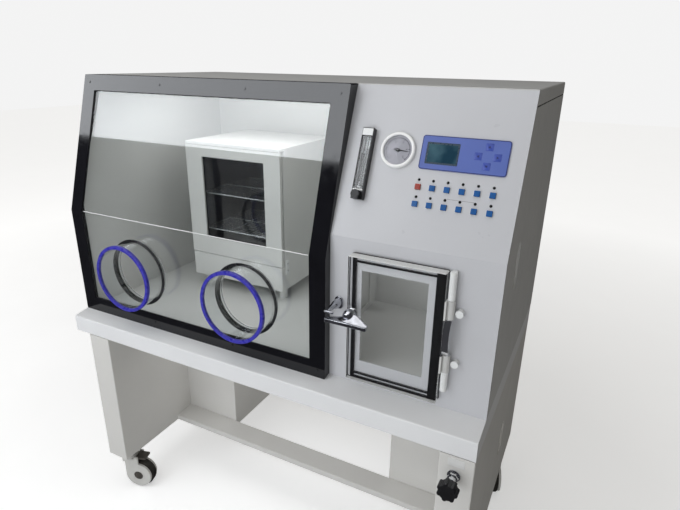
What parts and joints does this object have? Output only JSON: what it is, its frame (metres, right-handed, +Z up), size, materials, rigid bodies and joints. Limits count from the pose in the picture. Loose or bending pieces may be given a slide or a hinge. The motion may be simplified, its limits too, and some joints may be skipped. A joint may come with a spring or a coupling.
{
  "type": "laboratory glove box",
  "caption": "Sealed work cabinet on a wheeled stand, with a leaning window, glove ports, a side transfer chamber with a hinged door, and a control panel.",
  "frame": {"origin": "middle of the object's floor rectangle, on the floor", "axes": "+Z up; -Y is the front, where the operator stands; +X is to the operator's right"},
  "size_m": [1.259, 0.831, 1.36],
  "materials": {
    "stand_paint": "satin",
    "cabinet_paint": "satin",
    "liner_steel": "satin",
    "fascia_paint": "satin",
    "frame_black": "gloss",
    "clear_pane": "gloss",
    "screw_steel": "satin",
    "clear_tube": "gloss",
    "flange_black": "matte",
    "cuff_blue": "gloss",
    "seal_rubber": "matte",
    "hinge_white": "satin",
    "chrome": "polished",
    "inner_door_metal": "satin",
    "oven_paint": "satin",
    "oven_door_paint": "satin",
    "oven_glass": "gloss",
    "shelf_wire": "polished",
    "meter_clear": "gloss",
    "float_steel": "satin",
    "knob_black": "matte",
    "gauge_black": "gloss",
    "needle_black": "matte",
    "overlay_blue": "satin",
    "caster_plate_steel": "satin",
    "fitting_brass": "satin",
    "button_red": "gloss",
    "button_blue": "gloss",
    "caster_grey": "satin",
    "tyre_dark": "matte",
    "pedal_dark": "matte"
  },
  "bodies": {
    "cabinet": {"left_pedestal": "stand_paint", "right_pedestal": "stand_paint", "cross_rail": "stand_paint", "table": "cabinet_paint", "case_shell": "cabinet_paint", "right_cover": "cabinet_paint", "chamber_liner": "liner_steel", "partition_wall": "liner_steel", "fascia": "fascia_paint", "window_frame": "frame_black", "window_pane": "clear_pane", "frame_screws": "screw_steel", "port_tubes": "clear_tube", "port_flanges": "flange_black", "port_rings": "cuff_blue", "transfer_box": "liner_steel", "door_hinge_posts": "hinge_white", "latch_keeper": "chrome", "incubator_body": "oven_paint", "incubator_shelves": "shelf_wire", "rotameter_body": "meter_clear", "gauge_case": "gauge_black", "display_panel": "overlay_blue", "valve_body": "chrome", "caster_plates": "caster_plate_steel", "rear_fittings": "fitting_brass"},
    "transfer_door": {"outer_door": "clear_pane", "door_gasket": "seal_rubber", "door_hinge_leaf": "hinge_white", "latch_base": "chrome"},
    "door_latch": {"latch_lever": "chrome"},
    "airlock_inner_door": {"inner_door": "inner_door_metal"},
    "oven_door": {"incubator_door": "oven_door_paint", "incubator_glass": "oven_glass"},
    "flow_float": {"rotameter_float": "float_steel"},
    "flow_knob": {"rotameter_knob": "knob_black"},
    "needle": {"gauge_needle": "needle_black"},
    "gas_knob": {"valve_knob": "knob_black"},
    "button_01": {"button_01": "button_red"},
    "button_02": {"button_02": "button_blue"},
    "button_03": {"button_03": "button_blue"},
    "button_04": {"button_04": "button_blue"},
    "button_05": {"button_05": "button_blue"},
    "button_06": {"button_06": "button_blue"},
    "button_07": {"button_07": "button_blue"},
    "button_08": {"button_08": "button_blue"},
    "button_09": {"button_09": "button_blue"},
    "button_10": {"button_10": "button_blue"},
    "button_11": {"button_11": "button_blue"},
    "button_12": {"button_12": "button_blue"},
    "caster_left_front": {"caster_fork_left_front": "caster_grey"},
    "wheel_left_front": {"caster_wheel_left_front": "tyre_dark"},
    "pedal_left_front": {"brake_pedal_left_front": "pedal_dark"},
    "caster_right_front": {"caster_fork_right_front": "caster_grey"},
    "wheel_right_front": {"caster_wheel_right_front": "tyre_dark"},
    "pedal_right_front": {"brake_pedal_right_front": "pedal_dark"},
    "caster_left_rear": {"caster_fork_left_rear": "caster_grey"},
    "wheel_left_rear": {"caster_wheel_left_rear": "tyre_dark"},
    "caster_right_rear": {"caster_fork_right_rear": "caster_grey"},
    "wheel_right_rear": {"caster_wheel_right_rear": "tyre_dark"}
  },
  "joints": [
    {"name": "transfer_door_swing", "type": "hinge", "parent": "cabinet", "child": "transfer_door", "pos_m": [0.52049, -0.2955, 0.85], "axis": [0, 0, 1], "range_deg": [0, 95]},
    {"name": "door_latch_turn", "type": "hinge", "parent": "transfer_door", "child": "door_latch", "pos_m": [0.30049, -0.3355, 0.868], "axis": [0, -1, 0], "range_deg": [0, 90]},
    {"name": "inner_door_swing", "type": "hinge", "parent": "cabinet", "child": "airlock_inner_door", "pos_m": [0.19149, -0.2505, 0.85], "axis": [0, 0, 1], "range_deg": [0, 90]},
    {"name": "oven_door_swing", "type": "hinge", "parent": "cabinet", "child": "oven_door", "pos_m": [-0.10051, 0.0125, 0.97], "axis": [0, 0, 1], "range_deg": [0, 42]},
    {"name": "flow_float_lift", "type": "slide", "parent": "cabinet", "child": "flow_float", "axis": [0, 0.3738, 0.9275], "range_m": [0, 0.095]},
    {"name": "flow_knob_turn", "type": "hinge", "parent": "cabinet", "child": "flow_knob", "pos_m": [0.27949, -0.26208, 1.13095], "axis": [0, -0.9275, 0.3738], "range_deg": [0, 540]},
    {"name": "needle_turn", "type": "hinge", "parent": "cabinet", "child": "needle", "pos_m": [0.35149, -0.20973, 1.22737], "axis": [0, -0.9275, 0.3738], "range_deg": [-33, 237], "stiffness_Nm_per_rad": 0.002},
    {"name": "gas_knob_turn", "type": "hinge", "parent": "cabinet", "child": "gas_knob", "pos_m": [0.57749, -0.4005, 0.552], "axis": [0, -1, 0], "range_deg": [0, 540]},
    {"name": "button_01_press", "type": "slide", "parent": "cabinet", "child": "button_01", "axis": [0, 0.9275, -0.3738], "range_m": [0, 0.0015], "stiffness_N_per_m": 400},
    {"name": "button_02_press", "type": "slide", "parent": "cabinet", "child": "button_02", "axis": [0, 0.9275, -0.3738], "range_m": [0, 0.0015], "stiffness_N_per_m": 400},
    {"name": "button_03_press", "type": "slide", "parent": "cabinet", "child": "button_03", "axis": [0, 0.9275, -0.3738], "range_m": [0, 0.0015], "stiffness_N_per_m": 400},
    {"name": "button_04_press", "type": "slide", "parent": "cabinet", "child": "button_04", "axis": [0, 0.9275, -0.3738], "range_m": [0, 0.0015], "stiffness_N_per_m": 400},
    {"name": "button_05_press", "type": "slide", "parent": "cabinet", "child": "button_05", "axis": [0, 0.9275, -0.3738], "range_m": [0, 0.0015], "stiffness_N_per_m": 400},
    {"name": "button_06_press", "type": "slide", "parent": "cabinet", "child": "button_06", "axis": [0, 0.9275, -0.3738], "range_m": [0, 0.0015], "stiffness_N_per_m": 400},
    {"name": "button_07_press", "type": "slide", "parent": "cabinet", "child": "button_07", "axis": [0, 0.9275, -0.3738], "range_m": [0, 0.0015], "stiffness_N_per_m": 400},
    {"name": "button_08_press", "type": "slide", "parent": "cabinet", "child": "button_08", "axis": [0, 0.9275, -0.3738], "range_m": [0, 0.0015], "stiffness_N_per_m": 400},
    {"name": "button_09_press", "type": "slide", "parent": "cabinet", "child": "button_09", "axis": [0, 0.9275, -0.3738], "range_m": [0, 0.0015], "stiffness_N_per_m": 400},
    {"name": "button_10_press", "type": "slide", "parent": "cabinet", "child": "button_10", "axis": [0, 0.9275, -0.3738], "range_m": [0, 0.0015], "stiffness_N_per_m": 400},
    {"name": "button_11_press", "type": "slide", "parent": "cabinet", "child": "button_11", "axis": [0, 0.9275, -0.3738], "range_m": [0, 0.0015], "stiffness_N_per_m": 400},
    {"name": "button_12_press", "type": "slide", "parent": "cabinet", "child": "button_12", "axis": [0, 0.9275, -0.3738], "range_m": [0, 0.0015], "stiffness_N_per_m": 400},
    {"name": "swivel_left_front", "type": "hinge", "parent": "cabinet", "child": "caster_left_front", "pos_m": [-0.53651, -0.3055, 0.13], "axis": [0, 0, 1], "continuous": true},
    {"name": "roll_left_front", "type": "hinge", "parent": "caster_left_front", "child": "wheel_left_front", "pos_m": [-0.50496, -0.29585, 0.05], "axis": [-0.2924, 0.9563, 0], "continuous": true},
    {"name": "brake_left_front", "type": "hinge", "parent": "caster_left_front", "child": "pedal_left_front", "pos_m": [-0.50782, -0.29673, 0.119], "axis": [-0.2924, 0.9563, 0], "range_deg": [0, 10]},
    {"name": "swivel_right_front", "type": "hinge", "parent": "cabinet", "child": "caster_right_front", "pos_m": [0.57649, -0.3035, 0.13], "axis": [0, 0, 1], "continuous": true},
    {"name": "roll_right_front", "type": "hinge", "parent": "caster_right_front", "child": "wheel_right_front", "pos_m": [0.54658, -0.28955, 0.05], "axis": [-0.4226, -0.9063, 0], "continuous": true},
    {"name": "brake_right_front", "type": "hinge", "parent": "caster_right_front", "child": "pedal_right_front", "pos_m": [0.5493, -0.29082, 0.119], "axis": [-0.4226, -0.9063, 0], "range_deg": [0, 10]},
    {"name": "swivel_left_rear", "type": "hinge", "parent": "cabinet", "child": "caster_left_rear", "pos_m": [-0.53151, 0.3345, 0.13], "axis": [0, 0, 1], "continuous": true},
    {"name": "roll_left_rear", "type": "hinge", "parent": "caster_left_rear", "child": "wheel_left_rear", "pos_m": [-0.50623, 0.35571, 0.05], "axis": [-0.6428, 0.766, 0], "continuous": true},
    {"name": "swivel_right_rear", "type": "hinge", "parent": "cabinet", "child": "caster_right_rear", "pos_m": [0.58449, 0.2845, 0.13], "axis": [0, 0, 1], "continuous": true},
    {"name": "roll_right_rear", "type": "hinge", "parent": "caster_right_rear", "child": "wheel_right_rear", "pos_m": [0.59468, 0.25311, 0.05], "axis": [0.9511, 0.309, 0], "continuous": true}
  ]
}
